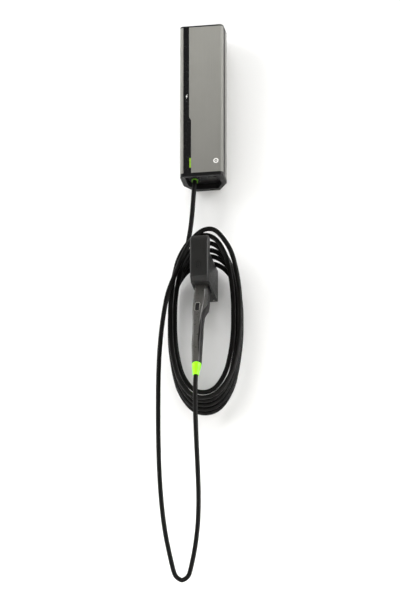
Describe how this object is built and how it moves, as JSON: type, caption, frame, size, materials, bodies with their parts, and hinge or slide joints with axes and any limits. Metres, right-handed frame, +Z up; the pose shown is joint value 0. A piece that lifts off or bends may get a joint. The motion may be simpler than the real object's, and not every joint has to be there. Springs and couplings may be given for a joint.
{
  "type": "wall ev charging point",
  "caption": "Slim wall charging box with recessed sides, a hook-like holster holding a pistol plug, and a long cable wound in a coil with a hanging loop.",
  "frame": {"origin": "centre of the charger's wall mounting face", "axes": "+Z up, -Y out of the wall towards the user, +X to the user's right when facing the charger"},
  "size_m": [0.2779, 0.187, 1.915],
  "materials": {
    "aluminium_panel": "fine brushed, bead blasted warm grey anodised",
    "aluminium_housing": "satin anodised extrusion",
    "black_plastic": "fine moulded texture",
    "dark_plastic": "moulded, slight sheen",
    "grey_plastic": "moulded satin",
    "gloss_black": "smoked window strip",
    "white_print": "inlaid pictogram",
    "sensor_smoke": "smoked lens",
    "green_light": "translucent light pipe, unlit",
    "lime_plastic": "soft moulded lime green",
    "rubber_black": "soft seal",
    "cable_jacket": "extruded flexible jacket",
    "zinc_steel": "zinc plated",
    "stainless": "stainless fasteners",
    "painted_steel": "black powder coat",
    "brass_contact": "silvered brass contacts",
    "pcb_green": "circuit board",
    "component_black": "electronic components",
    "device_grey": "moulded switchgear",
    "toggle_blue": "moulded toggle",
    "nylon_white": "nylon"
  },
  "bodies": {
    "wall_unit": {"rear_housing": "aluminium_housing", "middle_band": "black_plastic", "front_cover": "aluminium_panel", "emblem": "white_print", "window_strip": "gloss_black", "charge_icon": "white_print", "light_sensor": "sensor_smoke", "status_light": "green_light", "cover_gasket": "rubber_black", "top_cap": "black_plastic", "bottom_cap": "black_plastic", "cap_screws": "stainless", "gland_body": "dark_plastic", "gland_ring": "lime_plastic", "gland_locknut": "dark_plastic", "supply_plug": "dark_plastic", "din_rail": "zinc_steel", "rail_screws": "zinc_steel", "contactor": "device_grey", "rcbo_body": "device_grey", "toggle_pin": "zinc_steel", "terminal_block": "nylon_white", "power_supply": "component_black", "controller_board": "pcb_green", "board_standoffs": "nylon_white", "board_components": "component_black", "led_board": "pcb_green", "load_wires": "cable_jacket", "holster_body": "dark_plastic", "holster_plate": "painted_steel", "holster_screws": "stainless", "holster_socket": "black_plastic", "charging_cable": "cable_jacket", "cable_leg": "cable_jacket"},
    "connector": {"handle_front": "grey_plastic", "handle_rear": "dark_plastic", "handle_screws": "zinc_steel", "nose_shell": "black_plastic", "nose_seal": "rubber_black", "pin_carrier": "nylon_white", "contact_pins": "brass_contact", "latch_pin": "zinc_steel", "button_bezel": "grey_plastic", "latch_spring": "zinc_steel", "cable_clamp": "black_plastic", "cable_boot": "lime_plastic"},
    "latch": {"latch_lever": "dark_plastic", "thumb_button": "dark_plastic"},
    "breaker_toggle": {"rcbo_toggle": "toggle_blue"},
    "cover_lock": {"lock_barrel": "stainless", "lock_cam": "zinc_steel"}
  },
  "joints": [
    {"name": "plug_withdraw", "type": "slide", "parent": "wall_unit", "child": "connector", "axis": [-0.0377, -0.1735, -0.9841], "range_m": [0, 0.09], "deforming": ["cable_leg"]},
    {"name": "latch_press", "type": "hinge", "parent": "connector", "child": "latch", "pos_m": [-0.00271, -0.13935, -0.69029], "axis": [0.9896, -0.1435, -0.0126], "range_deg": [0, 3], "deforming": ["latch_spring"]},
    {"name": "breaker_switch", "type": "hinge", "parent": "wall_unit", "child": "breaker_toggle", "pos_m": [0.012, -0.066, -0.1], "axis": [1, 0, 0], "range_deg": [-60, 0]},
    {"name": "lock_turn", "type": "hinge", "parent": "wall_unit", "child": "cover_lock", "pos_m": [-0.046, -0.098, -0.25], "axis": [0, 0, 1], "range_deg": [0, 90]}
  ]
}
